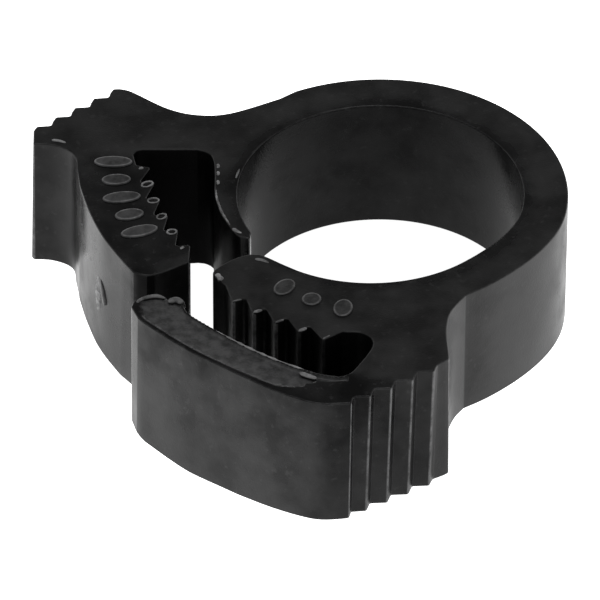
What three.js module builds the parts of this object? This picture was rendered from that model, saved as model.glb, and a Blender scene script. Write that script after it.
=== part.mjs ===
// Double-grip ratchet hose clamp, moulded in one piece of black nylon, shown as moulded: open.
// Millimetres, +Z up. The clamp lies on its side face: the hose's axis is vertical.
// Every piece is a slab of the clamp's full width, drawn in plan about the bore's centre.
// The ring flexes all along its length, so it is divided at ten flexures into short segments.
import * as THREE from "three";

// Driving dimensions
const CLAMP_WIDTH = 8.0;
const BORE_RADIUS = 7.8;
const BAND_THICKNESS = 2.4;
const OUTER_RADIUS = BORE_RADIUS + BAND_THICKNESS;
const MIDDLE_RADIUS = BORE_RADIUS + BAND_THICKNESS / 2;

// Flexures of the ring, in degrees around the bore, out from the segment opposite the mouth
const LEFT_FLEXURES = [40, 57, 74, 91, 108];
const RIGHT_FLEXURES = [18, 1, -16, -33, -50];
const FLEXURE_GAP = 0.36;
const HALF_GAP_ANGLE = THREE.MathUtils.radToDeg(FLEXURE_GAP / 2 / MIDDLE_RADIUS);

// The ring is drawn in slightly where it runs into the socket jaw
const DRAWN_IN = 0.55;
const DRAWN_IN_FROM = -10;
const DRAWN_IN_TO = -50;

// Both racks of teeth follow arcs about the point that the jaws turn around as the ring closes
const PITCH_CENTRE = [4.9, 2.7];
const TOOTH_PITCH = 4.8;
const STEEP_FACE = 0.6;
const TOOTH_DEPTH = 0.8;
const CATCH_TEETH = 5;
const CATCH_FIRST_TOOTH = 181.1;
const CATCH_TIP_RADIUS = 17.42;
const CATCH_TIP_STEP = -0.12;
const CATCH_RACK_BACK = 18.7;
const CATCH_CUT_ANGLE = CATCH_FIRST_TOOTH + CATCH_TEETH * TOOTH_PITCH - STEEP_FACE;
const SOCKET_TEETH = 5;
const SOCKET_FIRST_TOOTH = 223.4;
const SOCKET_TIP_RADIUS = 17.82;
const SOCKET_TIP_STEP = -0.09;
const SOCKET_RACK_BACK = 16.0;
const SOCKET_RACK_START = 218.8;
const SOCKET_RACK_END = 244.6;

// Finger grips: stepped ribs
const CATCH_RIBS = 5;
const CATCH_RIB_FIRST = [-18.75, 5.95];
const CATCH_RIB_STEP = [1.04, 0.74];
const CATCH_RIB_TREAD = 0.8;
const CATCH_RIB_BOW = 0.02;
const CATCH_RIB_FACE = [0.15, 0.35];
const SOCKET_RIBS = 4;
const SOCKET_RIB_FIRST = [2.9, -15.5];
const SOCKET_RIB_STEP = [-1.14, -0.76];
const SOCKET_RIB_TREAD = 0.92;
const SOCKET_RIB_BOW = 0.03;
const SOCKET_RIB_FACE = [0.24, 0.56];
const RIB_TREAD_RISE = 0.06;

const nylon = new THREE.MeshStandardMaterial({ color: 0x1b1b1c, roughness: 0.55, metalness: 0 });

function along(centre, angle, radius) {
  const turn = THREE.MathUtils.degToRad(angle);
  return [centre[0] + radius * Math.cos(turn), centre[1] + radius * Math.sin(turn)];
}

function ringPoint(angle, radius) {
  const wrapped = angle > 215 ? angle - 360 : angle;
  const drawnIn = DRAWN_IN * THREE.MathUtils.smoothstep(-wrapped, -DRAWN_IN_FROM, -DRAWN_IN_TO);
  return along([-drawnIn, 0], angle, radius);
}

function pitchPoint(angle, radius) {
  return along(PITCH_CENTRE, angle, radius);
}

function arc(pointAt, radius, from, to, steps) {
  const row = [];
  for (let i = 0; i <= steps; i += 1) {
    row.push(pointAt(from + (to - from) * i / steps, radius));
  }
  return row;
}

// A smooth line through a few points
function smooth(points, steps) {
  const curve = new THREE.SplineCurve(points.map(([x, y]) => new THREE.Vector2(x, y)));
  return curve.getPoints(steps).map((point) => [point.x, point.y]);
}

function slab(name, outline) {
  const shape = new THREE.Shape(outline.map(([x, y]) => new THREE.Vector2(x, y)));
  const geometry = new THREE.ExtrudeGeometry(shape, { depth: CLAMP_WIDTH, bevelEnabled: false });
  const mesh = new THREE.Mesh(geometry, nylon);
  mesh.name = name;
  return mesh;
}

function bandSegment(name, from, to) {
  const inside = arc(ringPoint, BORE_RADIUS, from, to, 4);
  const outside = arc(ringPoint, OUTER_RADIUS, to, from, 4);
  return slab(name, [...inside, ...outside]);
}

function ring() {
  const back = [RIGHT_FLEXURES[0] + HALF_GAP_ANGLE, LEFT_FLEXURES[0] - HALF_GAP_ANGLE];
  const segments = [bandSegment("band_back", ...back)];
  for (let i = 0; i < LEFT_FLEXURES.length - 1; i += 1) {
    const left = [LEFT_FLEXURES[i] + HALF_GAP_ANGLE, LEFT_FLEXURES[i + 1] - HALF_GAP_ANGLE];
    const right = [RIGHT_FLEXURES[i + 1] + HALF_GAP_ANGLE, RIGHT_FLEXURES[i] - HALF_GAP_ANGLE];
    segments.push(bandSegment(`band_left_${i + 1}`, ...left));
    segments.push(bandSegment(`band_right_${i + 1}`, ...right));
  }
  return segments;
}

// Catch jaw: the left jaw, whose toothed arm ends in a tongue
const CATCH_RING_END = LEFT_FLEXURES[LEFT_FLEXURES.length - 1] + HALF_GAP_ANGLE;
const CATCH_NECK_ANGLE = 117;
const LIP_ROOT_ANGLE = 158;
const CATCH_CREST = [-13.9, 9.1];
const CATCH_SHOULDER = [-16.75, 3.5];
const CATCH_ARM_CORNER = [-16.68, 2.5];
const CATCH_RACK_TOP_ANGLE = CATCH_FIRST_TOOTH - STEEP_FACE;
const CATCH_RACK_TOP = pitchPoint(CATCH_RACK_TOP_ANGLE, CATCH_TIP_RADIUS + TOOTH_DEPTH);
const CATCH_BACK_TOP = pitchPoint(CATCH_RACK_TOP_ANGLE, CATCH_RACK_BACK);
const CATCH_ARM_END_RADIUS = 20.8;
const CATCH_ARM_END = pitchPoint(CATCH_CUT_ANGLE, CATCH_ARM_END_RADIUS);

function catchRoot() {
  return slab("catch_root", [
    ...arc(ringPoint, BORE_RADIUS, LIP_ROOT_ANGLE, CATCH_RING_END, 8),
    ...arc(ringPoint, OUTER_RADIUS, CATCH_RING_END, CATCH_NECK_ANGLE, 2),
    ...smooth([[-5.5, 8.45], [-8.2, 7.1], [-10.0, 6.95], [-11.6, 7.45], CATCH_CREST], 12),
    CATCH_SHOULDER,
    CATCH_ARM_CORNER,
    CATCH_BACK_TOP,
    CATCH_RACK_TOP,
    ...smooth([[-13.5, 3.5], [-13.3, 3.8], [-13.0, 3.9]], 4),
    ...smooth([[-10.0, 3.9], [-9.5, 3.7], [-9.1, 2.95]], 4),
  ]);
}

function catchGrip() {
  const ribs = [];
  for (let i = 0; i < CATCH_RIBS; i += 1) {
    const x = CATCH_RIB_FIRST[0] + CATCH_RIB_STEP[0] * i;
    const y = CATCH_RIB_FIRST[1] + CATCH_RIB_STEP[1] * i + CATCH_RIB_BOW * i * i / 2;
    ribs.push([x - CATCH_RIB_FACE[0], y - CATCH_RIB_FACE[1]], [x, y]);
    if (i < CATCH_RIBS - 1) {
      ribs.push([x + CATCH_RIB_TREAD, y + RIB_TREAD_RISE]);
    }
  }
  return slab("catch_grip", [
    CATCH_SHOULDER,
    [-17.3, 4.1],
    [-18.1, 4.4],
    [-19.05, 4.4],
    ...ribs,
    CATCH_CREST,
  ]);
}

function catchRackFront() {
  const front = [];
  for (let i = 0; i < CATCH_TEETH; i += 1) {
    const angle = CATCH_FIRST_TOOTH + TOOTH_PITCH * i;
    const radius = CATCH_TIP_RADIUS + CATCH_TIP_STEP * i;
    front.push(pitchPoint(angle - STEEP_FACE, radius + TOOTH_DEPTH));
    front.push(pitchPoint(angle, radius));
  }
  return front;
}

const TONGUE_TIP_RADIUS = CATCH_TIP_RADIUS + CATCH_TIP_STEP * CATCH_TEETH;
const TONGUE_ROOT = pitchPoint(CATCH_CUT_ANGLE, TONGUE_TIP_RADIUS + TOOTH_DEPTH);

function catchTeeth() {
  return slab("catch_teeth", [
    ...catchRackFront(),
    TONGUE_ROOT,
    ...arc(pitchPoint, CATCH_RACK_BACK, CATCH_CUT_ANGLE, CATCH_RACK_TOP_ANGLE, 6),
  ]);
}

function catchArm() {
  return slab("catch_arm", [
    ...arc(pitchPoint, CATCH_RACK_BACK, CATCH_RACK_TOP_ANGLE, CATCH_CUT_ANGLE, 6),
    ...smooth([CATCH_ARM_END, [-15.1, -3.8], [-15.9, -1.5], [-16.45, 0.7], CATCH_ARM_CORNER], 8),
  ]);
}

function catchTongue() {
  return slab("catch_tongue", [
    CATCH_ARM_END,
    pitchPoint(CATCH_CUT_ANGLE, CATCH_RACK_BACK),
    TONGUE_ROOT,
    pitchPoint(CATCH_CUT_ANGLE + STEEP_FACE, TONGUE_TIP_RADIUS),
    [-10.4, -6.0],
    [-11.9, -6.95],
    [-12.7, -7.2],
    [-13.45, -6.9],
  ]);
}

// The lip is the ring's free end inside the catch jaw, thin enough to flex inwards
const LIP_TOP = 2.6;
const LIP_START_ANGLE = 160.6;
const LIP_END_ANGLE = 204;

function catchLip() {
  return slab("catch_lip", [
    ...arc(ringPoint, BORE_RADIUS, LIP_START_ANGLE, LIP_END_ANGLE, 8),
    [-7.1, -4.0],
    ...smooth([[-7.9, -3.35], [-8.65, -1.85], [-9.05, -0.3], [-9.05, 1.2], [-9.08, LIP_TOP]], 8),
  ]);
}

// Socket jaw: the right jaw, with a toothed nose inside an outer arm
const SOCKET_RING_END = 360 + RIGHT_FLEXURES[RIGHT_FLEXURES.length - 1] - HALF_GAP_ANGLE;
const NOSE_CUT_ANGLE = 262;
const NOSE_ARC_ANGLE = 239;
const BEAK_ANGLE = 234;
const RACK_TOP_RADIUS = 17.1;
const RACK_FOOT_RADIUS = 16.35;
const NOSE_CUT_OUTSIDE = [-1.7, -12.1];
const SOCKET_GRIP_TOP = [3.66, -14.1];
const ARM_ROOT_X = -1.6;
const SOCKET_GRIP_END = [ARM_ROOT_X, -16.9];

function socketRoot() {
  return slab("socket_root", [
    ...arc(ringPoint, BORE_RADIUS, NOSE_CUT_ANGLE, SOCKET_RING_END, 8),
    ringPoint(SOCKET_RING_END, OUTER_RADIUS),
    ...smooth([[4.6, -8.9], [3.8, -10.3], [3.55, -11.9], SOCKET_GRIP_TOP], 8),
    SOCKET_GRIP_END,
    [ARM_ROOT_X, -15.55],
    ...smooth([[-0.85, -14.2], [-0.48, -13.3], [-0.55, -12.6], [-1.1, -12.15]], 6),
    NOSE_CUT_OUTSIDE,
  ]);
}

function socketGrip() {
  const ribs = [];
  for (let i = 0; i < SOCKET_RIBS; i += 1) {
    const x = SOCKET_RIB_FIRST[0] + SOCKET_RIB_STEP[0] * i;
    const y = SOCKET_RIB_FIRST[1] + SOCKET_RIB_STEP[1] * i + SOCKET_RIB_BOW * i * i / 2;
    ribs.push([x + SOCKET_RIB_FACE[0], y + SOCKET_RIB_FACE[1]], [x, y]);
    ribs.push([x - SOCKET_RIB_TREAD, y - RIB_TREAD_RISE]);
  }
  return slab("socket_grip", [
    SOCKET_GRIP_END,
    SOCKET_GRIP_TOP,
    [3.66, -14.4],
    ...ribs,
    [ARM_ROOT_X, -18.2],
  ]);
}

function socketNose() {
  return slab("socket_nose", [
    ...smooth([pitchPoint(SOCKET_RACK_START, RACK_TOP_RADIUS), [-8.85, -7.4], [-9.15, -7.0], [-8.65, -6.45],
      [-7.7, -5.65], [-7.1, -5.38], [-6.5, -5.5], ringPoint(BEAK_ANGLE, BORE_RADIUS)], 14),
    ...arc(ringPoint, BORE_RADIUS, NOSE_ARC_ANGLE, NOSE_CUT_ANGLE, 5),
    NOSE_CUT_OUTSIDE,
    pitchPoint(SOCKET_RACK_END, RACK_FOOT_RADIUS),
    ...arc(pitchPoint, SOCKET_RACK_BACK, SOCKET_RACK_END, SOCKET_RACK_START, 6),
  ]);
}

function socketTeeth() {
  const front = [pitchPoint(SOCKET_RACK_START, RACK_TOP_RADIUS)];
  for (let i = 0; i < SOCKET_TEETH; i += 1) {
    const angle = SOCKET_FIRST_TOOTH + TOOTH_PITCH * i;
    const radius = SOCKET_TIP_RADIUS + SOCKET_TIP_STEP * i;
    front.push(pitchPoint(angle, radius));
    if (i < SOCKET_TEETH - 1) {
      front.push(pitchPoint(angle + STEEP_FACE, radius - TOOTH_DEPTH));
    }
  }
  return slab("socket_teeth", [
    ...front,
    pitchPoint(SOCKET_RACK_END, RACK_FOOT_RADIUS),
    ...arc(pitchPoint, SOCKET_RACK_BACK, SOCKET_RACK_END, SOCKET_RACK_START, 6),
  ]);
}

// The outer arm springs outwards as the catch jaw's tongue slides in behind it
const ARM_START_X = ARM_ROOT_X - FLEXURE_GAP;
const TIP_CUT_INSIDE = [-10.5, -10.3];
const TIP_CUT_OUTSIDE = [-12.6, -11.55];

function outerArm() {
  return slab("outer_arm", [
    [ARM_START_X, -15.8],
    ...smooth([[-2.75, -15.8], [-3.85, -15.4], [-5.5, -14.5], [-7.15, -13.35], [-9.1, -11.7],
      TIP_CUT_INSIDE], 14),
    ...smooth([TIP_CUT_OUTSIDE, [-10.4, -13.7], [-8.2, -15.4], [-6.0, -17.0], [-4.4, -17.9],
      [-3.2, -18.3], [ARM_START_X, -18.25]], 14),
  ]);
}

function outerArmTip() {
  return slab("outer_arm_tip", [
    TIP_CUT_OUTSIDE,
    TIP_CUT_INSIDE,
    ...smooth([[-10.58, -9.5], [-10.8, -9.1], [-11.1, -8.92], [-11.42, -9.15]], 5),
    ...smooth([[-11.65, -8.9], [-12.15, -8.8], [-12.85, -9.05], [-13.35, -9.35], [-13.53, -9.9],
      [-13.15, -10.9]], 10),
  ]);
}

const clamp = new THREE.Group();
clamp.add(...ring());
clamp.add(catchRoot(), catchGrip(), catchArm(), catchTeeth(), catchTongue(), catchLip());
clamp.add(socketRoot(), socketGrip(), socketNose(), socketTeeth(), outerArm(), outerArmTip());

// The origin is under the middle of the clamp's plan
const extent = new THREE.Box3().setFromObject(clamp);
const middle = extent.getCenter(new THREE.Vector3());
clamp.position.set(-middle.x, -middle.y, 0);

export default clamp;
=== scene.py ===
"""Ratchet hose clamp, moulded in one piece of black nylon.

The CAD frame divides the moulding into rigid solids. Here it is drawn as the seamless, softly
rounded moulding that it really is: every piece is a slab of the clamp's full width.
Plan outlines are in millimetres about the bore's centre; meshes are in metres in the row frame.
"""

import math

import bpy
import numpy as np
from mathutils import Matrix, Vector
from mathutils.geometry import delaunay_2d_cdt

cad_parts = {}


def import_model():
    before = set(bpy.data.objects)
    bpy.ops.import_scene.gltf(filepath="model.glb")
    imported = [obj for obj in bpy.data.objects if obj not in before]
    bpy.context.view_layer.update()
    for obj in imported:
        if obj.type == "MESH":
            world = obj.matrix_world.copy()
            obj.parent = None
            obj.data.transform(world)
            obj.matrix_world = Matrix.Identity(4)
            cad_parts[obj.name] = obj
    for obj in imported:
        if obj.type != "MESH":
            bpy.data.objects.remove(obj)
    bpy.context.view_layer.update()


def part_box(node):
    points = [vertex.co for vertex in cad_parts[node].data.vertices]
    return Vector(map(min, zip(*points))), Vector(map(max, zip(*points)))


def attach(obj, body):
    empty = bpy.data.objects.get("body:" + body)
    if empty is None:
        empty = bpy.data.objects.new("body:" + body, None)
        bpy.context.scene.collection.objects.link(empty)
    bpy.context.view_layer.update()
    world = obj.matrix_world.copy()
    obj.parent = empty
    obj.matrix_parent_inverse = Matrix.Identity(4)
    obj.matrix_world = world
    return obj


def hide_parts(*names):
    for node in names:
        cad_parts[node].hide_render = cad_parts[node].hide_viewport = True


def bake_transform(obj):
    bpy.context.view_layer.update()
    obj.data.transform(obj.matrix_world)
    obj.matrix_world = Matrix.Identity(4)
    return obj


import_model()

# ---------------------------------------------------------------- driving dimensions, in mm

MM = 0.001
WIDTH = (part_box("band_back")[1].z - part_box("band_back")[0].z) / MM
BORE = 7.8
OUTER = 10.26
GRIP_WEST = -19.05
GRIP_SOUTH = -18.2
ORIGIN = np.array([
    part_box("catch_grip")[0].x / MM - GRIP_WEST,
    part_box("socket_grip")[0].y / MM - GRIP_SOUTH,
])

# Radius of the rounding of the upper and lower edges, and of the corners seen in plan
FILLET = 0.1
FILLET_STEPS = 2
CORNER = 0.16
WALL_STEP = 0.3
INNER_STEP = 0.55

# The ring is drawn in towards the socket jaw, between these angles clockwise from the x axis
DRAWN_IN = 0.55
DRAWN_IN_FROM = 10.0
DRAWN_IN_TO = 50.0

# Both rows of teeth follow arcs about one centre. Angles are in degrees.
PITCH_CENTRE = (4.9, 2.7)
TOOTH_PITCH = 4.8
STEEP_FACE = 0.6
TOOTH_DEPTH = 0.8
TEETH = 5
CATCH_FIRST = 181.1
CATCH_TIP = 17.42
CATCH_TIP_STEP = -0.12
SOCKET_FIRST = 223.4
SOCKET_TIP = 17.82
SOCKET_TIP_STEP = -0.09

# Where the ring's pieces meet, in degrees round the bore
RING_BACK = 29.0
LEFT_CUTS = [RING_BACK, 48.5, 65.5, 82.5, 99.5, 116.5]
RIGHT_CUTS = [RING_BACK, 9.5, -7.5, -24.5, -41.5, -56.0]

# Where the lip leaves the catch jaw, and where the outer arm leaves the socket jaw, with the
# outward normals of the walls there
LIP_CUT_ANGLE = 156.0
LIP_CUT = (-9.17, 3.16)
LIP_CUT_NORMAL = (-0.976, -0.218)
ARM_CUT_INSIDE = (-1.75, -15.68)
ARM_CUT_INSIDE_NORMAL = (-0.58, 0.815)
ARM_CUT_OUTSIDE = (-1.75, -18.24)
ARM_CUT_OUTSIDE_NORMAL = (0.03, -1.0)

# The outside walls' feet stand out a little: by angle about the racks' centre, in mm
FLARE_ANGLES = [172, 176, 184, 192, 196, 204, 208, 214, 217, 219, 223, 228, 236, 243, 250, 256]
FLARE_AMOUNTS = [0, 0.15, 0.06, 0.1, 0.16, 0.16, 0, 0, 0.12, 0.28, 0.38, 0.5, 0.44, 0.24, 0.1, 0]
RING_DRAFT = -0.1
RIB_LEAN = -0.22

# Painted highlight and sheen, rubbed wear, painted shade and gloss, in places, from 0 to 1
EDGE_WEAR_AND_HIGHLIGHT = 0.16
PAINTED_CREST_HIGHLIGHT = 0.35
PAINTED_DISH_SHEEN = 0.19
BORE_SHADE = 0.2
TONGUE_SHADE = 0.75
CATCH_GLOSS = 0.75
BORE_GLOSS = 0.8

# In degrees: the least corner that is rounded, the corner whose crest gets the full painted
# highlight, the turn in each step of a rounding, and the least angle of an edge that stays sharp
SMALL_TURN = 14.0
FULL_TURN = 50.0
ROUNDING_STEP = 24.0
SHARP_ANGLE = 52.0


# ---------------------------------------------------------------- plan geometry

def smoothstep(value, low, high):
    share = np.clip((value - low) / (high - low), 0.0, 1.0)
    return share * share * (3.0 - 2.0 * share)


def along(centre, angle, radius):
    turn = math.radians(angle)
    return (centre[0] + radius * math.cos(turn), centre[1] + radius * math.sin(turn))


def ring_point(angle, radius):
    """A point of the ring, which is drawn in slightly towards the socket jaw."""
    below = 360.0 - angle if angle > 215.0 else -angle
    drawn_in = DRAWN_IN * float(smoothstep(below, DRAWN_IN_FROM, DRAWN_IN_TO))
    return along((-drawn_in, 0.0), angle, radius)


def pitch_point(angle, radius):
    return along(PITCH_CENTRE, angle, radius)


def arc(point_at, radius, start, end, step=1.7):
    count = max(2, math.ceil(abs(end - start) / step))
    return [point_at(start + (end - start) * i / count, radius) for i in range(count + 1)]


def smooth(points, step=0.28):
    """A Catmull-Rom line through a few points."""
    p = [np.array(q, float) for q in points]
    row = [tuple(p[0])]
    for i in range(len(p) - 1):
        before, a, b, after = p[max(i - 1, 0)], p[i], p[i + 1], p[min(i + 2, len(p) - 1)]
        count = max(2, math.ceil(np.linalg.norm(b - a) / step))
        for k in range(1, count + 1):
            t = k / count
            q = 0.5 * (2 * a + (b - before) * t + (2 * before - 5 * a + 4 * b - after) * t ** 2
                       + (3 * a - before - 3 * b + after) * t ** 3)
            row.append(tuple(q))
    return row


def turn_at(before, here, after):
    first = (here[0] - before[0], here[1] - before[1])
    second = (after[0] - here[0], after[1] - here[1])
    cross = first[0] * second[1] - first[1] * second[0]
    return math.atan2(cross, first[0] * second[0] + first[1] * second[1])


def soften(chain):
    """Rounds a chain's corners. Returns its points and the painted highlight on each convex crest."""
    points, worn_and_highlit = [], []
    last = len(chain) - 1
    for i, here in enumerate(chain):
        turn = turn_at(chain[i - 1], here, chain[i + 1]) if 0 < i < last else 0.0
        if abs(turn) < math.radians(SMALL_TURN):
            points.append(here)
            worn_and_highlit.append(0.0)
            continue
        to_before = np.array(chain[i - 1]) - np.array(here)
        to_after = np.array(chain[i + 1]) - np.array(here)
        reach = min(np.linalg.norm(to_before), np.linalg.norm(to_after)) * 0.45
        tangent = min(CORNER * math.tan(abs(turn) / 2), reach)
        bend = tangent / math.tan(abs(turn) / 2)
        start = np.array(here) + to_before / np.linalg.norm(to_before) * tangent
        side = np.array([-to_before[1], to_before[0]]) / np.linalg.norm(to_before)
        centre = start - side * bend * (1 if turn > 0 else -1)
        arm = start - centre
        steps = max(2, math.ceil(abs(turn) / math.radians(ROUNDING_STEP)))
        for k in range(steps + 1):
            c, s = math.cos(turn * k / steps), math.sin(turn * k / steps)
            x = centre[0] + arm[0] * c - arm[1] * s
            y = centre[1] + arm[0] * s + arm[1] * c
            points.append((x, y))
            crest = turn > 0 and 0 < k < steps
            worn_and_highlit.append(min(1.0, turn / math.radians(FULL_TURN)) if crest else 0.0)
    return points, worn_and_highlit


def subdivide(points, worn_and_highlit, step):
    """Splits a chain's long edges."""
    out, wear_and_highlight = [], []
    for i in range(len(points) - 1):
        a, b = np.array(points[i]), np.array(points[i + 1])
        parts = max(1, math.ceil(np.linalg.norm(b - a) / step - 1e-6))
        for k in range(parts):
            out.append(tuple(a + (b - a) * k / parts))
            wear_and_highlight.append(worn_and_highlit[i] if k == 0 else 0.0)
    out.append(tuple(points[-1]))
    wear_and_highlight.append(worn_and_highlit[-1])
    return out, wear_and_highlight


def nearest(points, segments):
    """For each point, the nearest of a set of segments, how far along it, and the distance."""
    a, b = segments[:, 0], segments[:, 1]
    edge = b - a
    length = np.maximum((edge ** 2).sum(1), 1e-12)
    which = np.zeros(len(points), int)
    where = np.zeros(len(points))
    best = np.zeros(len(points))
    for start in range(0, len(points), 400):
        p = points[start:start + 400, None, :]
        share = np.clip(((p - a) * edge).sum(2) / length, 0.0, 1.0)
        gap = np.linalg.norm(p - (a + share[..., None] * edge), axis=2)
        row = np.arange(len(gap))
        which[start:start + 400] = gap.argmin(1)
        where[start:start + 400] = share[row, gap.argmin(1)]
        best[start:start + 400] = gap.min(1)
    return which, where, best


def distance_to(points, segments):
    return nearest(points, segments)[2]


def unit(rows):
    return rows / np.maximum(np.linalg.norm(rows, axis=-1, keepdims=True), 1e-12)


def wall_normals(points, ends=None):
    """The outward normals of a wall at its points, with its material on the left. ends gives the
    first and the last, which the wall's neighbours share."""
    row = np.array(points)
    edges = unit(np.roll(row, -1, axis=0) - row)
    sides = np.stack([edges[:, 1], -edges[:, 0]], axis=1)
    normals = unit(sides + np.roll(sides, 1, axis=0))
    if ends is not None:
        normals[0], normals[-1] = unit(np.array(ends, float))
    return normals


def inside(points, loop):
    x, y = points[:, 0][:, None], points[:, 1][:, None]
    ax, ay = loop[:, 0], loop[:, 1]
    bx, by = np.roll(ax, -1), np.roll(ay, -1)
    spans = (ay > y) != (by > y)
    rise = np.where(by == ay, 1e-12, by - ay)
    crosses = spans & (x < (bx - ax) * (y - ay) / rise + ax)
    return crosses.sum(1) % 2 == 1


def fillet_drop(distance):
    """How far the rounded edge has dropped at a distance in from the wall."""
    inset = np.clip(FILLET - distance, 0.0, FILLET)
    return FILLET - np.sqrt(np.maximum(FILLET ** 2 - inset ** 2, 0.0))


# ---------------------------------------------------------------- meshes

BEAD_FACETS = 6


class Shape:
    """Vertices in plan mm with heights, faces, each vertex's rubbed wear and painted highlight, and
    the faces' normals at their corners, where nought means Blender's own."""

    def __init__(self):
        self.points = []
        self.faces = []
        self.wear_and_highlight = []
        self.gloss = []
        self.shade = []
        self.normals = []

    def add(self, points, faces, wear_and_highlight, gloss=None, normals=None, shade=None):
        first = len(self.points)
        self.points += [tuple(p) for p in points]
        self.faces += [tuple(first + i for i in f) for f in faces]
        self.wear_and_highlight += [float(w) for w in wear_and_highlight]
        self.gloss += [0.0] * len(points) if gloss is None else [float(g) for g in gloss]
        self.shade += [0.0] * len(points) if shade is None else [float(g) for g in shade]
        self.normals += normals or [(0.0, 0.0, 0.0) for f in faces for _ in f]

    def make(self, name):
        mesh = bpy.data.meshes.new(name)
        shift = (ORIGIN[0], ORIGIN[1], 0.0)
        rows = [tuple((p[i] + shift[i]) * MM for i in range(3)) for p in self.points]
        mesh.from_pydata(rows, [], self.faces)
        assert not mesh.validate(), name
        mesh.polygons.foreach_set("use_smooth", [True] * len(mesh.polygons))
        mesh.set_sharp_from_angle(angle=math.radians(SHARP_ANGLE))
        mesh.normals_split_custom_set(self.normals)
        for title, values in (("wear_and_highlight", self.wear_and_highlight), ("gloss", self.gloss), ("shade", self.shade)):
            mesh.attributes.new(title, "FLOAT", "POINT").data.foreach_set("value", values)
        mesh.materials.append(NYLON)
        obj = bpy.data.objects.new(name, mesh)
        bpy.context.scene.collection.objects.link(obj)
        return obj


def inset_steps():
    """Distances in from a wall at which the rounded edge gets its rows of points."""
    turns = [math.pi / 2 * k / FILLET_STEPS for k in range(1, FILLET_STEPS + 1)]
    return [FILLET * (1 - math.cos(turn)) for turn in turns] + [FILLET * 1.5]


def cut_row(a, b):
    """Points along a cut, with their distances from its nearer end. Both neighbours get the
    same ones."""
    a, b = np.array(a), np.array(b)
    length = np.linalg.norm(b - a)
    near = [d for d in inset_steps() if d < length * 0.45]
    middle = max(1, round((length - 2 * near[-1]) / INNER_STEP))
    run = [near[-1] + (length - 2 * near[-1]) * k / middle for k in range(1, middle)]
    stations = near + run + [length - d for d in reversed(near)]
    gaps = [min(s, length - s) for s in stations]
    return [tuple(a + (b - a) * s / length) for s in stations], gaps


def inset_points(chain, walls, loop, cuts):
    """Rows of points just inside the walls, so that the rounded edge has its true section."""
    found = []
    row = np.array(chain)
    for i in range(1, len(row) - 1):
        first, second = row[i] - row[i - 1], row[i + 1] - row[i]
        n1 = np.array([-first[1], first[0]]) / max(np.linalg.norm(first), 1e-9)
        n2 = np.array([-second[1], second[0]]) / max(np.linalg.norm(second), 1e-9)
        mitre = (n1 + n2) / max(1 + float(n1 @ n2), 0.5)
        found += [(row[i] + mitre * d, d) for d in inset_steps()]
    points = np.array([f[0] for f in found])
    depth = np.array([f[1] for f in found])
    keep = inside(points, loop) & (distance_to(points, walls) > depth * 0.93)
    return points[keep & (distance_to(points, cuts) > 0.08)]


def thin_out(points, spacing, taken):
    """Drops points that crowd others."""
    cells = {}
    for p in taken:
        cells.setdefault((math.floor(p[0] / spacing), math.floor(p[1] / spacing)), []).append(p)
    kept = []
    for p in points:
        cx, cy = math.floor(p[0] / spacing), math.floor(p[1] / spacing)
        near = [q for i in (-1, 0, 1) for j in (-1, 0, 1) for q in cells.get((cx + i, cy + j), [])]
        if all((p[0] - q[0]) ** 2 + (p[1] - q[1]) ** 2 > spacing ** 2 for q in near):
            kept.append(p)
            cells.setdefault((cx, cy), []).append(p)
    return kept


def grid_points(loop, walls, cuts, step):
    """A triangular grid of points inside the outline, clear of its walls and cuts."""
    low, high = loop.min(0), loop.max(0)
    rows = []
    for j in range(math.ceil((high[1] - low[1]) / (step * 0.866)) + 1):
        for i in range(math.ceil((high[0] - low[0]) / step) + 1):
            rows.append((low[0] + (i + 0.5 * (j % 2)) * step, low[1] + j * step * 0.866))
    points = np.array(rows)
    keep = inside(points, loop) & (distance_to(points, walls) > FILLET * 1.5 + step * 0.4)
    return points[keep & (distance_to(points, cuts) > step * 0.45)]


def polar(points, centre):
    """Angles in degrees and radii about a centre."""
    about = points - np.array(centre)
    return np.degrees(np.arctan2(about[:, 1], about[:, 0])) % 360, np.linalg.norm(about, axis=1)


def wall_flare(points):
    """How far the foot of an outside wall stands out from its top, in mm."""
    angle, radius = polar(points, PITCH_CENTRE)
    outside = smoothstep(radius, 20.3, 20.7)
    jaws = np.interp(angle, FLARE_ANGLES, FLARE_AMOUNTS) * outside
    ring = np.interp(np.linalg.norm(points, axis=1), [9.6, 9.8, 10.4, 10.9], [0, 1, 1, 0])
    return jaws + ring * RING_DRAFT


def rib_lean(points):
    """How far the feet of the socket grip's ribs lean towards the outer arm, in mm."""
    angle, radius = polar(points, PITCH_CENTRE)
    ribs = smoothstep(angle, 251.0, 253.5) * smoothstep(radius, 17.0, 17.5)
    return ribs * smoothstep(-points[:, 0], -3.5, -2.9) * RIB_LEAN


def gloss_at(points):
    """The clamp's top is glossier on the two arms, and along the bore's edge."""
    angle, radius = polar(points, PITCH_CENTRE)
    catch = smoothstep(angle, 176.0, 181.0) * smoothstep(-angle, -209.0, -206.0)
    arm = smoothstep(angle, 206.0, 208.0) * smoothstep(-angle, -262.0, -256.0)
    bore = smoothstep(-np.linalg.norm(points, axis=1), -8.7, -8.0) * BORE_GLOSS
    catch = catch * smoothstep(radius, 16.9, 17.2) * CATCH_GLOSS
    return catch + arm * smoothstep(radius, 19.3, 19.8) + bore


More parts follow.
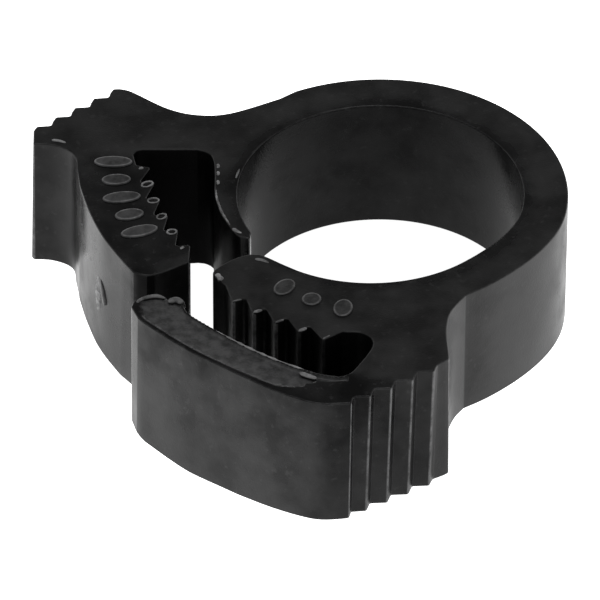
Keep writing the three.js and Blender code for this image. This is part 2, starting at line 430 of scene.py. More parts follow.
def slot_shade(points):
    """How deep in shade a wall stands: in the bore a little, in the two slots deeply."""
    x, y = points[:, 0], points[:, 1]
    bore = smoothstep(-np.linalg.norm(points, axis=1), -8.6, -8.3) * BORE_SHADE
    beside = smoothstep(x, -13.8, -13.5) * smoothstep(-x, 7.4, 7.9) * smoothstep(y, -5.6, -4.8)
    out_of_bore = smoothstep(np.linalg.norm(points, axis=1), 8.1, 8.3)
    catch = beside * smoothstep(-y, -4.1, -3.95) * out_of_bore
    angle, radius = polar(points, PITCH_CENTRE)
    within = smoothstep(radius, 15.9, 16.1) * smoothstep(-radius, -20.4, -20.2)
    deep = smoothstep(-np.hypot(x + 2.2, y + 13.6), -5.2, -2.6)
    socket = within * deep * smoothstep(angle, 218.0, 222.0) * smoothstep(-angle, -254.0, -253.0)
    beak = smoothstep(-np.hypot(x + 8.9, y + 7.3), -2.0, -1.2)
    tongue = smoothstep(x, -13.5, -13.1) * smoothstep(-x, 10.2, 10.3) * TONGUE_SHADE
    tongue = tongue * smoothstep(-y, 5.6, 6.2) * smoothstep(y, -7.8, -7.5)
    return np.maximum.reduce([bore, catch, socket, beak, tongue])


class Outline:
    """A piece's outline in plan, and at each of its points: its painted crest highlight, the
    wall's outward normal, the wall's own point nearest to it, and its distance from the wall."""

    def __init__(self, chains, ends):
        self.loop, self.wear_and_highlight, self.facing, self.foot, self.depth = [], [], [], [], []
        self.walls, self.sides, self.cuts = [], [], []
        self.chains, self.wall_runs, self.cut_runs = [], [], []
        for c, chain in enumerate(chains):
            following = (c + 1) % len(chains)
            self.add_wall(chain, ends[c])
            self.add_cut(chains[following][0], ends[c][1], ends[following][0])
        starts = [run[0] for run in self.wall_runs]
        for c, run in enumerate(self.cut_runs):
            run.append(starts[(c + 1) % len(starts)])
        self.walls, self.sides = np.array(self.walls), np.array(self.sides)
        self.cuts, self.ring = np.array(self.cuts), np.array(self.loop)

    def add_wall(self, chain, ends):
        points, worn_and_highlit = subdivide(*soften(chain), WALL_STEP)
        normals = wall_normals(points, ends)
        self.wall_runs.append(list(range(len(self.loop), len(self.loop) + len(points))))
        self.walls += list(zip(points, points[1:]))
        self.sides += list(zip(normals, normals[1:]))
        self.chains.append(points)
        self.loop += points
        self.foot += points
        self.wear_and_highlight += worn_and_highlit
        self.facing += list(normals)
        self.depth += [0.0] * len(points)

    def add_cut(self, target, first_normal, second_normal):
        """A straight cut from the last point so far to the target."""
        here = self.loop[-1]
        row, gaps = cut_row(here, target)
        half = len(row) // 2
        rest = len(row) - half
        self.cut_runs.append(list(range(len(self.loop) - 1, len(self.loop) + len(row))))
        self.cuts.append((here, target))
        self.loop += row
        self.foot += [here] * half + [target] * rest
        self.wear_and_highlight += [0.0] * len(row)
        self.facing += [unit(np.array(first_normal))] * half
        self.facing += [unit(np.array(second_normal))] * rest
        self.depth += gaps

    def inner_points(self, step, contours):
        """Points inside the outline: along its edges, on the contours given, and in between."""
        inner = []
        for chain in self.chains:
            rows = inset_points(chain, self.walls, self.ring, self.cuts)
            inner += thin_out(rows, 0.025, self.loop + inner)
        if len(contours):
            rows = np.array(contours)
            rows = rows[inside(rows, self.ring) & (distance_to(rows, self.walls) > FILLET)]
            inner += thin_out(rows[distance_to(rows, self.cuts) > 0.1], 0.05, self.loop + inner)
        rows = grid_points(self.ring, self.walls, self.cuts, step)
        return inner + thin_out(rows, step * 0.4, self.loop + inner)

    def skin(self, triangles, count, above, below, lean):
        """The faces of the slab, and their normals at their corners. Its lower points follow its
        upper ones, which number count."""
        faces = list(triangles) + [tuple(count + i for i in reversed(t)) for t in triangles]
        normals = [tuple(above[i]) for t in triangles for i in t]
        normals += [tuple(below[i]) for t in triangles for i in reversed(t)]
        for run in self.wall_runs:
            for i, j in zip(run, run[1:]):
                faces.append((count + i, count + j, j, i))
                normals += [tuple(lean[k]) for k in (i, j, j, i)]
        for run in self.cut_runs:
            faces.append(tuple([count + i for i in run] + list(reversed(run))))
            normals += [(0.0, 0.0, 0.0)] * len(faces[-1])
        return faces, normals


def relief_normals(points, relief):
    """The directions that face straight up from a relief."""
    up = np.tile([0.0, 0.0, 1.0], (len(points), 1))
    for axis, nudge in enumerate(np.eye(2) * 0.01):
        up[:, axis] = -(relief(points + nudge) - relief(points - nudge)) / 0.02
    return unit(up)


def moulding(chains, ends, step=INNER_STEP, relief=None, contours=()):
    """A slab with rounded edges. Chains are its walls, counter-clockwise; from the end of each
    to the start of the next is a straight cut, where a neighbour meets it. ends holds the
    outward normals at each chain's two ends, which both neighbours share."""
    outline = Outline(chains, ends)
    inner = outline.inner_points(step, contours)
    everything = np.array(outline.loop + inner)
    count = len(everything)
    border = [list(range(len(outline.loop)))]
    cut = delaunay_2d_cdt([Vector(p) for p in everything], [], border, 1, 1e-6)
    assert len(cut[0]) == count, "the outline crosses itself"

    which, where, gap = nearest(np.array(inner), outline.walls)
    share = where[:, None]
    near_walls = outline.walls[which, 0] * (1 - share) + outline.walls[which, 1] * share
    near_sides = outline.sides[which, 0] * (1 - share) + outline.sides[which, 1] * share
    foot = np.array(outline.foot + list(near_walls))
    side = np.array(outline.facing + list(unit(near_sides)))
    depth = np.concatenate([np.array(outline.depth), gap])
    drop = fillet_drop(depth)
    flare, sway = wall_flare(foot), rib_lean(foot)

    height = WIDTH - drop
    up = np.tile([0.0, 0.0, 1.0], (count, 1))
    if relief is not None:
        height = height + relief(everything)
        up = relief_normals(everything, relief)
    upper = np.column_stack([everything, height])
    near = np.clip(1.0 - depth, 0.0, 1.0)
    lower = np.column_stack([everything + side * (flare * near)[:, None], drop])
    lower[:, 0] += sway * near

    lean = unit(np.column_stack([side, (flare + sway * side[:, 0]) / WIDTH]))
    tilt = np.clip((FILLET - depth) / FILLET, 0.0, 1.0)[:, None]
    level = np.sqrt(1.0 - tilt ** 2)
    above = unit(lean * tilt + up * level)
    below = unit(lean * tilt + np.array([0.0, 0.0, -1.0]) * level)
    faces, normals = outline.skin([tuple(t) for t in cut[2]], count, above, below, lean)

    # The rounded edges are paler: partly rubbed wear, partly a painted highlight
    rounded = (depth > FILLET * 0.1) * np.clip(drop / FILLET, 0, 1) ** 0.6
    # Convex corners get a painted highlight along their crests
    corners = np.concatenate([np.array(outline.wear_and_highlight), np.zeros(len(inner))])
    wear_and_highlight = np.maximum(corners * PAINTED_CREST_HIGHLIGHT, rounded * EDGE_WEAR_AND_HIGHLIGHT)
    gloss = gloss_at(everything)
    shade = slot_shade(everything) * (depth == 0.0)
    if relief is not None:
        # Inside the dish the colour is paler, a painted sheen, and the gloss is taken off
        dish = smoothstep(-relief(everything), 0.02, 0.08)
        wear_and_highlight = np.maximum(wear_and_highlight, dish * PAINTED_DISH_SHEEN)
        gloss = gloss * (1 - dish)
    plain = np.zeros(count)
    shape = Shape()
    shape.add(list(upper) + list(lower), faces,
              wear_and_highlight=np.concatenate([wear_and_highlight, wear_and_highlight if relief is None else plain]),
              gloss=np.concatenate([gloss, plain]),
              shade=np.concatenate([shade, shade]),
              normals=normals)
    return shape


def bead(shape, path, normal, width, height, closed=False, wear_and_highlight=1.0, sunk=0.08, ragged=0.0):
    """A low rounded ridge on a surface, along a path of 3-D points in mm. An open one tapers to
    its ends, and a ragged one varies in size along its length."""
    path = [Vector(p) for p in path]
    up = Vector(normal).normalized()
    count = len(path)
    turns = [math.pi * k / BEAD_FACETS for k in range(BEAD_FACETS + 1)]
    section = [(math.cos(turn) * width / 2, math.sin(turn) * height) for turn in turns]
    section += [(-width / 2, -sunk), (width / 2, -sunk)]
    points, faces = [], []
    for i, here in enumerate(path):
        before = path[i - 1] if closed or i else here
        after = path[(i + 1) % count] if closed or i < count - 1 else here
        side = (after - before).cross(up).normalized()
        size = 1.0 if closed else max(0.1, 1 - abs(2 * i / (count - 1) - 1) ** 2.5) ** 0.5
        size *= 1 - ragged * (0.5 + 0.5 * math.sin(4.1 * i + 31 * here.x))
        points += [here + side * u * size + up * (v * size if v > 0 else v) for u, v in section]
    n = len(section)
    for i in range(count if closed else count - 1):
        a, b = i * n, (i + 1) % count * n
        faces += [(a + k, a + (k + 1) % n, b + (k + 1) % n, b + k) for k in range(n)]
    if not closed:
        faces.append(tuple(reversed(range(n))))
        faces.append(tuple(range((count - 1) * n, count * n)))
    values = [wear_and_highlight if v > 0 else 0.0 for _ in path for _, v in section]
    shape.add(points, faces, values)


# ---------------------------------------------------------------- material

# The nylon's colour as moulded, its pale colour for rubbed wear and painted highlights and sheen,
# and its refractive index
AS_MOULDED = (0.002, 0.002, 0.0021, 1.0)
PALE_WEAR_AND_HIGHLIGHT = (0.3, 0.3, 0.303, 1.0)
NYLON_IOR = 1.285
BUMP_HEIGHT = 0.00006

# What full shade takes off the colour and the index, and full gloss off the roughness and shine
SHADE_OFF_COLOUR = 0.8
SHADE_OFF_IOR = 0.21
GLOSS_OFF_ROUGHNESS = 0.24
GLOSS_OFF_SHINE = 0.2


def nylon_material():
    """Satin black nylon: fine texture and faint mottling, paler where the meshes say (rubbed wear,
    painted highlights and painted sheen), smoother where gloss does, and darker in painted shade."""
    material = bpy.data.materials.new("black_nylon")
    material.use_nodes = True
    nodes, links = material.node_tree.nodes, material.node_tree.links
    shader = nodes["Principled BSDF"]
    shader.inputs["Metallic"].default_value = 0.0
    place = nodes.new("ShaderNodeTexCoord")

    def texture(scale, detail, rough):
        made = nodes.new("ShaderNodeTexNoise")
        made.inputs["Scale"].default_value = scale
        made.inputs["Detail"].default_value = detail
        made.inputs["Roughness"].default_value = rough
        links.new(place.outputs["Object"], made.inputs["Vector"])
        return made.outputs["Fac"]

    def ranged(value, low, high, to_low, to_high):
        made = nodes.new("ShaderNodeMapRange")
        for name, number in zip(("From Min", "From Max", "To Min", "To Max"),
                                (low, high, to_low, to_high)):
            made.inputs[name].default_value = number
        links.new(value, made.inputs["Value"])
        return made.outputs["Result"]

    def maths(operation, a, b):
        made = nodes.new("ShaderNodeMath")
        made.operation = operation
        for socket, value in zip(made.inputs, (a, b)):
            if isinstance(value, (int, float)):
                socket.default_value = value
            else:
                links.new(value, socket)
        return made.outputs["Value"]

    def attribute(name):
        made = nodes.new("ShaderNodeAttribute")
        made.attribute_name = name
        return made.outputs["Fac"]

    def share(amount, fraction):
        return maths("MULTIPLY", amount, fraction)

    cloud = ranged(texture(420.0, 3.0, 0.6), 0.35, 0.7, 0.0, 1.0)
    speck = ranged(texture(2600.0, 2.0, 0.5), 0.62, 0.74, 0.0, 1.0)
    patchy = ranged(texture(1500.0, 3.0, 0.7), 0.36, 0.62, 0.3, 1.0)
    grain = texture(9000.0, 2.0, 0.6)
    wave = texture(260.0, 2.0, 0.5)
    wear_and_highlight, gloss, shade = attribute("wear_and_highlight"), attribute("gloss"), attribute("shade")

    # Paler for rubbed wear and painted highlights and sheen; darker in the painted shade
    tone_and_painted_light = maths("ADD", ranged(cloud, 0.0, 1.0, 0.0, 0.014), share(speck, 0.03))
    tone_and_painted_light = maths("ADD", tone_and_painted_light, share(wear_and_highlight, patchy))
    tone_and_painted_light = maths("MULTIPLY", tone_and_painted_light, maths("SUBTRACT", 1.0, share(shade, SHADE_OFF_COLOUR)))
    colour = nodes.new("ShaderNodeMix")
    colour.data_type = "RGBA"
    colour.inputs["A"].default_value = AS_MOULDED
    colour.inputs["B"].default_value = PALE_WEAR_AND_HIGHLIGHT
    links.new(tone_and_painted_light, colour.inputs["Factor"])
    links.new(colour.outputs["Result"], shader.inputs["Base Color"])

    rough = maths("ADD", ranged(cloud, 0.0, 1.0, 0.32, 0.5), share(speck, 0.08))
    rough = maths("SUBTRACT", rough, share(gloss, GLOSS_OFF_ROUGHNESS))
    links.new(rough, shader.inputs["Roughness"])
    shine = maths("SUBTRACT", ranged(cloud, 0.0, 1.0, 0.4, 0.61), share(gloss, GLOSS_OFF_SHINE))
    links.new(shine, shader.inputs["Specular IOR Level"])
    index = maths("SUBTRACT", NYLON_IOR, share(shade, SHADE_OFF_IOR))
    links.new(index, shader.inputs["IOR"])

    surface = maths("ADD", share(grain, 0.25), wave)
    bump = nodes.new("ShaderNodeBump")
    bump.inputs["Strength"].default_value = 0.5
    bump.inputs["Distance"].default_value = BUMP_HEIGHT
    links.new(surface, bump.inputs["Height"])
    links.new(bump.outputs["Normal"], shader.inputs["Normal"])
    return material


NYLON = nylon_material()


# ---------------------------------------------------------------- the ring

BLEND_INSET = 0.22


def ring_normal(angle, radius, outwards):
    """The normal of the ring's outer wall, or with outwards -1 of its bore."""
    a, b = ring_point(angle - 0.1, radius), ring_point(angle + 0.1, radius)
    return ((b[1] - a[1]) * outwards, (a[0] - b[0]) * outwards)


def ring_piece(name, start, end, nodes):
    """A length of the ring, between the cuts at its two ends."""
    low, high = min(start, end), max(start, end)
    ends = [(ring_normal(low, OUTER, 1), ring_normal(high, OUTER, 1)),
            (ring_normal(high, BORE, -1), ring_normal(low, BORE, -1))]
    shape = moulding([arc(ring_point, OUTER, low, high), arc(ring_point, BORE, high, low)], ends)
    piece = shape.make(name)
    middle = (BORE + OUTER) / 2
    a, b = np.array(ring_point(start, middle)), np.array(ring_point(end, middle))
    inwards = (b - a) / np.linalg.norm(b - a) * BLEND_INSET
    ends = [(np.array(p) + ORIGIN) * MM for p in (a + inwards, b - inwards)]
    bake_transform(piece)
    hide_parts(*nodes)


for i in range(5):
    ring_piece(f"ring_left_{i + 1}", LEFT_CUTS[i], LEFT_CUTS[i + 1],
               ["band_back" if i == 0 else f"band_left_{i}"])
    ring_piece(f"ring_right_{i + 1}", RIGHT_CUTS[i], RIGHT_CUTS[i + 1],
               ["band_back" if i == 0 else f"band_right_{i}"])


# ---------------------------------------------------------------- the catch jaw

def catch_ribs():
    """The stepped ribs of the catch jaw's finger grip, from the crest down."""
    row = []
    for i in reversed(range(5)):
        x = -18.83 + 1.04 * i
        y = 6.0 + 0.84 * i
        if i < 4:
            row.append((x + 0.8, y + 0.08))
        row += [(x, y), (x - 0.17, y - 0.4)]
    return row


def catch_tooth(i):
    """The angle and radius of the tip of one of the catch arm's teeth, counted from the top."""
    return CATCH_FIRST + TOOTH_PITCH * i, CATCH_TIP + CATCH_TIP_STEP * i


def catch_rack():
    """The catch arm's teeth, from the tongue up."""
    row = []
    for i in reversed(range(TEETH)):
        angle, radius = catch_tooth(i)
        row += [pitch_point(angle, radius), pitch_point(angle - STEEP_FACE, radius + TOOTH_DEPTH)]
    return row


CATCH_CUT_ANGLE = CATCH_FIRST + TEETH * TOOTH_PITCH - STEEP_FACE
TONGUE_TIP = CATCH_TIP + CATCH_TIP_STEP * TEETH
CATCH_ARM_END = pitch_point(CATCH_CUT_ANGLE, 20.8)


def catch_jaw():
    outside = [ring_point(116.5, OUTER), ring_point(117.0, OUTER)]
    outside += smooth([(-5.5, 8.5), (-8.2, 7.2), (-10.0, 7.05), (-11.6, 7.6), (-13.3, 8.88),
                       (-13.85, 9.25), (-14.3, 9.38)])
    outside += catch_ribs()
    outside += smooth([(-19.0, 4.4), (-18.2, 4.36), (-17.5, 4.12), (-16.95, 3.72), (-16.66, 3.15),
                       (-16.6, 2.3)])
    outside += smooth([(-16.42, 0.7), (-15.9, -1.5), (-15.1, -3.8), CATCH_ARM_END])
    outside += smooth([(-13.45, -6.9), (-12.7, -7.2), (-11.9, -6.95), (-10.4, -6.0)])
    outside += [pitch_point(CATCH_CUT_ANGLE + STEEP_FACE, TONGUE_TIP),
                pitch_point(CATCH_CUT_ANGLE, TONGUE_TIP + TOOTH_DEPTH)]
    outside += catch_rack()
    outside += smooth([(-13.5, 3.5), (-13.3, 3.8), (-13.0, 3.9)])
    outside += smooth([(-10.0, 3.9), (-9.55, 3.72), (-9.27, 3.45), LIP_CUT], 0.2)
    bore = arc(ring_point, BORE, LIP_CUT_ANGLE, 116.5)
    ends = [(ring_normal(116.5, OUTER, 1), LIP_CUT_NORMAL),
            (ring_normal(LIP_CUT_ANGLE, BORE, -1), ring_normal(116.5, BORE, -1))]
    piece = moulding([outside, bore], ends).make("catch_jaw_moulding")
    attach(piece, "catch_jaw")
    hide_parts("catch_root", "catch_grip", "catch_arm", "catch_teeth", "catch_tongue")


def inner_lip():
    chain = smooth([LIP_CUT, (-9.08, 2.6), (-9.05, 1.2), (-9.05, 0.05), (-8.78, -1.5), (-8.4, -2.5),
                    (-7.98, -3.4), (-7.6, -3.82), (-7.12, -3.98)])
    chain += arc(ring_point, BORE, 205.5, LIP_CUT_ANGLE)
    ends = [(LIP_CUT_NORMAL, ring_normal(LIP_CUT_ANGLE, BORE, -1))]
    piece = moulding([chain], ends, step=0.4).make("inner_lip_moulding")
    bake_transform(piece)
    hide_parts("catch_lip")


catch_jaw()
inner_lip()


# ---------------------------------------------------------------- the socket jaw

def socket_ribs():
    """The stepped ribs of the socket jaw's finger grip, from the arm up."""
    row = []
    for i in reversed(range(4)):
        x = 2.9 - 1.14 * i
        y = -15.5 - 0.76 * i + 0.015 * i * i
        row += [(x - 0.98, y - 0.06), (x - 0.06, y), (x + 0.12, y + 0.56)]
    return row


def socket_tooth(i):
    """The angle and radius of the tip of one of the nose's teeth, counted from its beak."""
    return SOCKET_FIRST + TOOTH_PITCH * i, SOCKET_TIP + SOCKET_TIP_STEP * i


def socket_rack():
    """The nose's teeth, from its beak down."""
    row = [pitch_point(218.8, 17.1)]
    for i in range(TEETH):
        angle, radius = socket_tooth(i)
        row.append(pitch_point(angle, radius))
        if i < TEETH - 1:
            row.append(pitch_point(angle + STEEP_FACE, radius - TOOTH_DEPTH))
    row.append(pitch_point(244.6, 16.35))
    return row


def socket_jaw():
    outside = [ARM_CUT_OUTSIDE, (-1.6, -18.22)]
    outside += socket_ribs()
    outside += [(3.66, -14.4)]
    outside += smooth([(3.66, -14.1), (3.55, -11.9), (3.8, -10.3), (4.6, -8.9)])
    outside += [ring_point(304.0, OUTER)]
    inner = arc(ring_point, BORE, 304.0, 239.0)
    inner += smooth([ring_point(232.0, BORE), (-6.4, -5.4), (-6.8, -5.32), (-7.22, -5.34),
                     (-7.77, -5.58), (-8.32, -5.97), (-8.8, -6.42), (-9.12, -6.9), (-8.85, -7.4)], 0.2)
    inner += socket_rack()
    inner += smooth([(-1.7, -12.1), (-1.1, -12.15), (-0.55, -12.6), (-0.48, -13.3),
                     (-0.85, -14.2)], 0.25)
    inner += [(-1.5, -15.4), ARM_CUT_INSIDE]
    ends = [(ARM_CUT_OUTSIDE_NORMAL, ring_normal(304.0, OUTER, 1)),
            (ring_normal(304.0, BORE, -1), ARM_CUT_INSIDE_NORMAL)]
    piece = moulding([outside, inner], ends).make("socket_jaw_moulding")
    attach(piece, "socket_jaw")
    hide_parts("socket_root", "socket_grip", "socket_nose", "socket_teeth")


ARM_INSIDE = smooth([ARM_CUT_INSIDE, (-2.2, -15.85), (-2.75, -15.8), (-3.85, -15.4), (-5.5, -14.5),
                     (-7.15, -13.35), (-9.1, -11.7), (-10.5, -10.3), (-10.58, -9.5)])
ARM_OUTSIDE = smooth([(-13.15, -10.9), (-12.6, -11.55), (-10.4, -13.7), (-8.2, -15.4), (-6.0, -17.0),
                      (-4.4, -17.9), (-3.2, -18.3), ARM_CUT_OUTSIDE])


def lens_rim(x):
    """How far in from the front edge the dish on the arm's top begins."""
    return np.interp(x, [-12.6, -8.0, -5.7, -4.7, -3.4], [0.2, 0.22, 0.35, 0.75, 1.9])


def arm_lens(points):
    """The arm's top is a long shallow dish inside a rim, deepest along its inner edge."""
    gap_in = distance_to(points, np.array(list(zip(ARM_INSIDE, ARM_INSIDE[1:]))))
    gap_out = distance_to(points, np.array(list(zip(ARM_OUTSIDE, ARM_OUTSIDE[1:]))))
    mask = smoothstep(gap_in, 0.12, 0.3) * smoothstep(gap_out - lens_rim(points[:, 0]), 0.0, 0.2)
    mask = mask * smoothstep(points[:, 0], -13.1, -12.75)
    across = gap_out / np.maximum(gap_in + gap_out, 1e-6)
    return -mask * (0.05 + 0.18 * across)


def lens_contours():
    """Rows of points along the dish's two banks."""
    rows = []
    for line, near, far in ((ARM_INSIDE, lambda x: 0.12, 0.18), (ARM_OUTSIDE, lens_rim, 0.2)):
        points = subdivide(line, [0.0] * len(line), 0.14)[0]
        for p, n in zip(points[1:-1], wall_normals(points)[1:-1]):
            rows += [np.array(p) - n * (near(p[0]) + far * k / 4) for k in range(5)]
    return rows


def outer_arm():
    chain = list(ARM_INSIDE)
    chain += smooth([(-10.8, -9.1), (-11.1, -8.92), (-11.42, -9.15)], 0.15)
    chain += smooth([(-11.65, -8.9), (-12.15, -8.8), (-12.85, -9.05), (-13.35, -9.35),
                     (-13.53, -9.9)], 0.2)
    chain += ARM_OUTSIDE
    ends = [(ARM_CUT_INSIDE_NORMAL, ARM_CUT_OUTSIDE_NORMAL)]
    piece = moulding([chain], ends, step=0.25, relief=arm_lens, contours=lens_contours())
    piece = piece.make("outer_arm_moulding")
    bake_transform(piece)
    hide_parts("outer_arm", "outer_arm_tip")


socket_jaw()
outer_arm()


# ---------------------------------------------------------------- small moulded details

UP = (0.0, 0.0, 1.0)


def at_top(points, rise=0.0):
    return [(p[0], p[1], WIDTH + rise) for p in points]


def oval(centre, turn, length, width, count):
    """A closed oval in plan, long side turned by an angle in degrees."""
    c, s = math.cos(math.radians(turn)), math.sin(math.radians(turn))
    row = []
    for k in range(count):
        angle = 2 * math.pi * k / count
        u, v = math.cos(angle) * length / 2, math.sin(angle) * width / 2
        row.append((centre[0] + u * c - v * s, centre[1] + u * s + v * c))
    return row


def pad(shape, centre, turn, length, width, height, painted_rim_highlight, wear_and_highlight):
    """A low solid pad on top, of oval plan, with a painted highlight at its rim."""
    rings = [(0.0, -0.05, wear_and_highlight), (0.0, height * 0.6, wear_and_highlight), (0.05, height, painted_rim_highlight),
             (0.14, height, wear_and_highlight)]
    count = 24
    points, faces, values = [], [], []
    for inset, rise, worn_and_highlit in rings:
        outline = oval(centre, turn, length - 2 * inset, width - 2 * inset, count)
        points += at_top(outline, rise)
        values += [worn_and_highlit] * count
    for level in range(len(rings) - 1):
        for k in range(count):
            a, b = level * count + k, level * count + (k + 1) % count
            faces.append((a, b, b + count, a + count))
    faces.append(tuple(reversed(range(count))))
    faces.append(tuple(range((len(rings) - 1) * count, len(rings) * count)))
    shape.add(points, faces, values)


def catch_marks():
    """A row of five plain raised pads along the catch arm, long and short in turn."""
    shape = Shape()
    for i in range(5):
        angle = 179.8 + 4.7 * i
        centre = pitch_point(angle, 19.5 - 0.12 * i)
        pad(shape, centre, angle, 2.1 - 0.5 * (i % 2), 0.95, 0.1, painted_rim_highlight=0.55, wear_and_highlight=0.16)
    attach(shape.make("catch_mould_marks"), "catch_jaw")


def socket_marks():
    """Three plain raised pads at the root of the nose."""
    shape = Shape()
    for i in range(3):
        angle = 240.5 + 10.5 * i
        centre = ring_point(angle, 9.5 + 0.35 * i)
        pad(shape, centre, angle, 1.5 - 0.4 * (i % 2), 1.05, 0.09, painted_rim_highlight=0.4, wear_and_highlight=0.1)
    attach(shape.make("socket_mould_marks"), "socket_jaw")


def gate_scar():
    """The sheared gate, halfway up the catch arm's outer wall: a ragged ridge painted pale, partly
    its own rubbed tone and partly a painted highlight, with a dark torn edge on its right."""
    shape = Shape()
    outwards = (-0.945, -0.325, 0.0)
    ridge = [(-15.32 + 0.03 * math.sin(2.3 * k), -3.32, 2.3 + 0.13 * k) for k in range(21)]
    torn = [(-15.26 + 0.025 * k, -3.6 - 0.08 * k, 4.85 - 0.16 * k) for k in range(9)]
    bead(shape, ridge, outwards, 0.9, 0.16, wear_and_highlight=0.6, sunk=0.15, ragged=0.25)
    bead(shape, torn, outwards, 0.55, 0.07, wear_and_highlight=0.15, sunk=0.15)
    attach(shape.make("gate_scar"), "catch_jaw")


def speck(shape, points, width, height, wear_and_highlight=0.8):
    """A smear of flash on top, through a few plan points, painted pale as a painted glint."""
    depth = 0.03
    path = at_top(smooth(points, 0.08), -depth)
    bead(shape, path, UP, width, height + depth, wear_and_highlight=wear_and_highlight, ragged=0.35)


def catch_flash():
    """Specks of flash at the tips of the catch teeth, and on the finger grip's lowest rib, painted
    pale as painted glints.
    """
    shape = Shape()
    for i in range(TEETH + 1):
        angle, radius = catch_tooth(i)
        centre = pitch_point(angle + 0.2, radius + 0.42)
        if i in (0, TEETH):
            speck(shape, [centre, pitch_point(angle + 0.6, radius + 0.7)], 0.22, 0.08)
        else:
            loop = oval(centre, angle + 25 * (i % 2), 0.72 - 0.05 * i, 0.42, 14)
            bead(shape, at_top(loop), UP, 0.13, 0.06, closed=True, wear_and_highlight=0.8, ragged=0.4)
    speck(shape, [(-18.0, 4.75), (-17.6, 4.68), (-17.2, 4.5)], 0.3, 0.08)
    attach(shape.make("catch_flash"), "catch_jaw")


def lip_flash():
    """Three specks and a ragged ridge of flash along the lip's outer edge, and a speck at its tip
    and on its bore side, all painted pale as painted glints."""
    shape = Shape()
    for y in (2.6, 1.95, 1.15):
        speck(shape, [(-8.9, y), (-8.84, y - 0.18), (-8.9, y - 0.36)], 0.22, 0.08)
    ridge = [(-8.97, 0.4), (-8.93, -0.35), (-8.78, -1.1), (-8.6, -1.75), (-8.2, -2.75)]
    speck(shape, ridge, 0.16, 0.08)
    speck(shape, [(-8.05, -3.05), (-7.85, -3.3), (-7.55, -3.5)], 0.26, 0.08)
    speck(shape, [(-7.68, 2.2), (-7.8, 1.75), (-7.9, 1.3)], 0.16, 0.04, 0.5)
    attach(shape.make("lip_flash"), "inner_lip")


def socket_flash():
    """Specks of flash on the nose: at its beak and at the tips of its teeth, painted pale as
    painted glints.
    """
    shape = Shape()
    for i in range(TEETH):
        angle, radius = socket_tooth(i)
        odd = i % 2
        ends = [pitch_point(angle - 0.2, radius - 0.1), pitch_point(angle + 0.5, radius - 0.55)]
        speck(shape, ends, 0.15 + 0.08 * odd, 0.05 + 0.03 * odd, 0.5 + 0.3 * odd)
    speck(shape, [(-8.9, -7.05), (-8.75, -7.35), (-8.6, -7.6)], 0.4, 0.1)
    speck(shape, [(-6.85, -5.75), (-6.45, -5.85), (-6.05, -6.1)], 0.34, 0.05, 0.6)
    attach(shape.make("socket_flash"), "socket_jaw")


def arm_flash():
    """Two beads on the outer arm's end, the thin flash along its inner edge, and a speck at the
    dish's other end, all painted pale as painted highlights."""
    shape = Shape()
    speck(shape, [(-13.2, -9.55), (-12.95, -9.25), (-12.5, -9.04), (-12.1, -9.0), (-11.7, -9.15)],
          0.4, 0.13, 0.45)
    speck(shape, [(-11.5, -9.5), (-11.1, -9.3), (-10.75, -9.6)], 0.62, 0.18, 0.45)
    edge = [p for p in ARM_INSIDE if -9.2 < p[0] < -3.5]
    line = [(p[0] - 0.06, p[1] - 0.07) for p in reversed(edge)]
    bead(shape, at_top(line, -0.05), UP, 0.17, 0.11, wear_and_highlight=0.9, ragged=0.5)
    speck(shape, [(-4.4, -15.6), (-4.0, -15.85), (-3.5, -16.1)], 0.5, 0.08)
    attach(shape.make("arm_flash"), "outer_arm")


catch_marks()
socket_marks()
gate_scar()
catch_flash()
lip_flash()
socket_flash()
arm_flash()


# ---------------------------------------------------------------- floor, light and camera

# The white table glows, and less so inside the bore, around the clamp and under its two slots.
# Each shade has its centre, the radii where it is full and where it ends, and the glow in it
TABLE_GLOW = 2.4
SHADES = [
    ((-0.2, 0.0), 8.6, 10.5, 1.0),
    ((6.0, -24.0), 5.5, 15.0, 1.0),
    ((8.0, -15.0), 3.0, 9.0, 1.6),
    ((14.0, 4.0), 5.0, 14.0, 1.9),
    ((-22.0, 6.0), 4.0, 12.0, 1.6),
    ((-19.0, -4.0), 3.0, 8.0, 1.45),
    ((-9.8, 1.5), 3.0, 4.5, 1.0),
    ((-4.0, -13.0), 2.5, 5.0, 1.0),
]
TABLE_HEIGHT = -2e-5


def table_glow(points):
    """The table's glow at points in the row frame."""
    plan = points / MM - ORIGIN
    glow = np.full(len(plan), TABLE_GLOW)
    for centre, near, far, value in SHADES:
        away = smoothstep(np.linalg.norm(plan - np.array(centre), axis=1), near, far)
        glow = np.minimum(glow, value + (TABLE_GLOW - value) * away)
    return glow


def floor():
    """A white table: a grid that is fine around the clamp, where its glow varies."""
    fine = [0.5 * MM * k for k in range(-100, 101)]
    line = [-3.0, -0.5, -0.1] + fine + [0.1, 0.5, 3.0]
    count = len(line)
    points = [(x, y, TABLE_HEIGHT) for y in line for x in line]
    faces = [(i, i + 1, i + 1 + count, i + count)
             for j in range(count - 1) for i in range(j * count, j * count + count - 1)]
    mesh = bpy.data.meshes.new("studio_floor")
    mesh.from_pydata(points, [], faces)
    attribute = mesh.attributes.new("glow", "FLOAT", "POINT")
    attribute.data.foreach_set("value", table_glow(np.array(points)[:, :2]))
    material = bpy.data.materials.new("white_table")
    material.use_nodes = True
    nodes, links = material.node_tree.nodes, material.node_tree.links
    shader = nodes["Principled BSDF"]
    shader.inputs["Base Color"].default_value = (0.1, 0.1, 0.1, 1.0)
    shader.inputs["Roughness"].default_value = 0.9
    shader.inputs["Emission Color"].default_value = (1.0, 1.0, 1.0, 1.0)
    glow = nodes.new("ShaderNodeAttribute")
    glow.attribute_name = "glow"
    links.new(glow.outputs["Fac"], shader.inputs["Emission Strength"])
    mesh.materials.append(material)
    obj = bpy.data.objects.new("studio_floor", mesh)
    bpy.context.scene.collection.objects.link(obj)


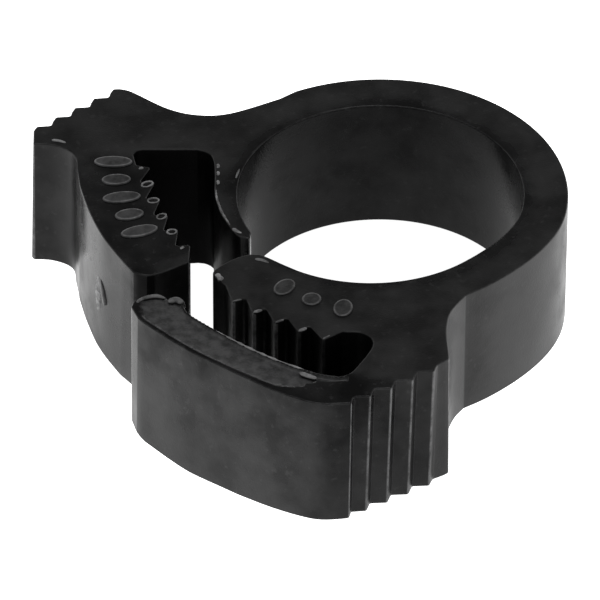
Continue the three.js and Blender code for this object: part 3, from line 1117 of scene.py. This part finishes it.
def soft_box(name, centre, size, power):
    """An area light that faces the clamp."""
    light = bpy.data.lights.new(name, "AREA")
    light.shape = "RECTANGLE"
    light.size, light.size_y = size
    light.energy = power
    obj = bpy.data.objects.new(name, light)
    obj.location = centre
    obj.rotation_mode = "QUATERNION"
    obj.rotation_quaternion = (Vector((0, 0, 0.004)) - Vector(centre)).to_track_quat("-Z", "Y")
    bpy.context.scene.collection.objects.link(obj)


# The studio's light from the horizon and from overhead, and the height where the change ends
HORIZON_LIGHT = 1.8
OVERHEAD_LIGHT = 0.31
OVERHEAD_FROM = 0.4


def world():
    made = bpy.data.worlds.new("studio")
    made.use_nodes = True
    nodes, links = made.node_tree.nodes, made.node_tree.links
    back = nodes["Background"]
    place = nodes.new("ShaderNodeTexCoord")
    split = nodes.new("ShaderNodeSeparateXYZ")
    ramp = nodes.new("ShaderNodeMapRange")
    ramp.interpolation_type = "SMOOTHSTEP"
    ramp.inputs["From Min"].default_value = 0.0
    ramp.inputs["From Max"].default_value = OVERHEAD_FROM
    ramp.inputs["To Min"].default_value = HORIZON_LIGHT
    ramp.inputs["To Max"].default_value = OVERHEAD_LIGHT
    links.new(place.outputs["Generated"], split.inputs["Vector"])
    links.new(split.outputs["Z"], ramp.inputs["Value"])
    links.new(ramp.outputs["Result"], back.inputs["Color"])
    back.inputs["Strength"].default_value = 1.0
    bpy.context.scene.world = made


CAMERA_ELEVATION = 38.46
CAMERA_DISTANCE = 0.93
CAMERA_TARGET = Vector((0.00004, -0.00025, 0.004))


def camera():
    """The photograph's view: from the front and above, through a very long lens."""
    elevation = math.radians(CAMERA_ELEVATION)
    back = Vector((0.0, -math.cos(elevation), math.sin(elevation)))
    data = bpy.data.cameras.new("camera")
    data.sensor_width = 36.0
    data.lens = 1024.0
    data.clip_start, data.clip_end = 0.01, 20.0
    obj = bpy.data.objects.new("camera", data)
    obj.location = CAMERA_TARGET + back * CAMERA_DISTANCE
    obj.rotation_mode = "QUATERNION"
    obj.rotation_quaternion = (-back).to_track_quat("-Z", "Y")
    bpy.context.scene.collection.objects.link(obj)
    bpy.context.scene.camera = obj


floor()
world()
soft_box("top_box", (0.0, 0.15, 0.95), (0.5, 0.4), 3.0)
camera()
bpy.context.scene.view_settings.view_transform = "Standard"
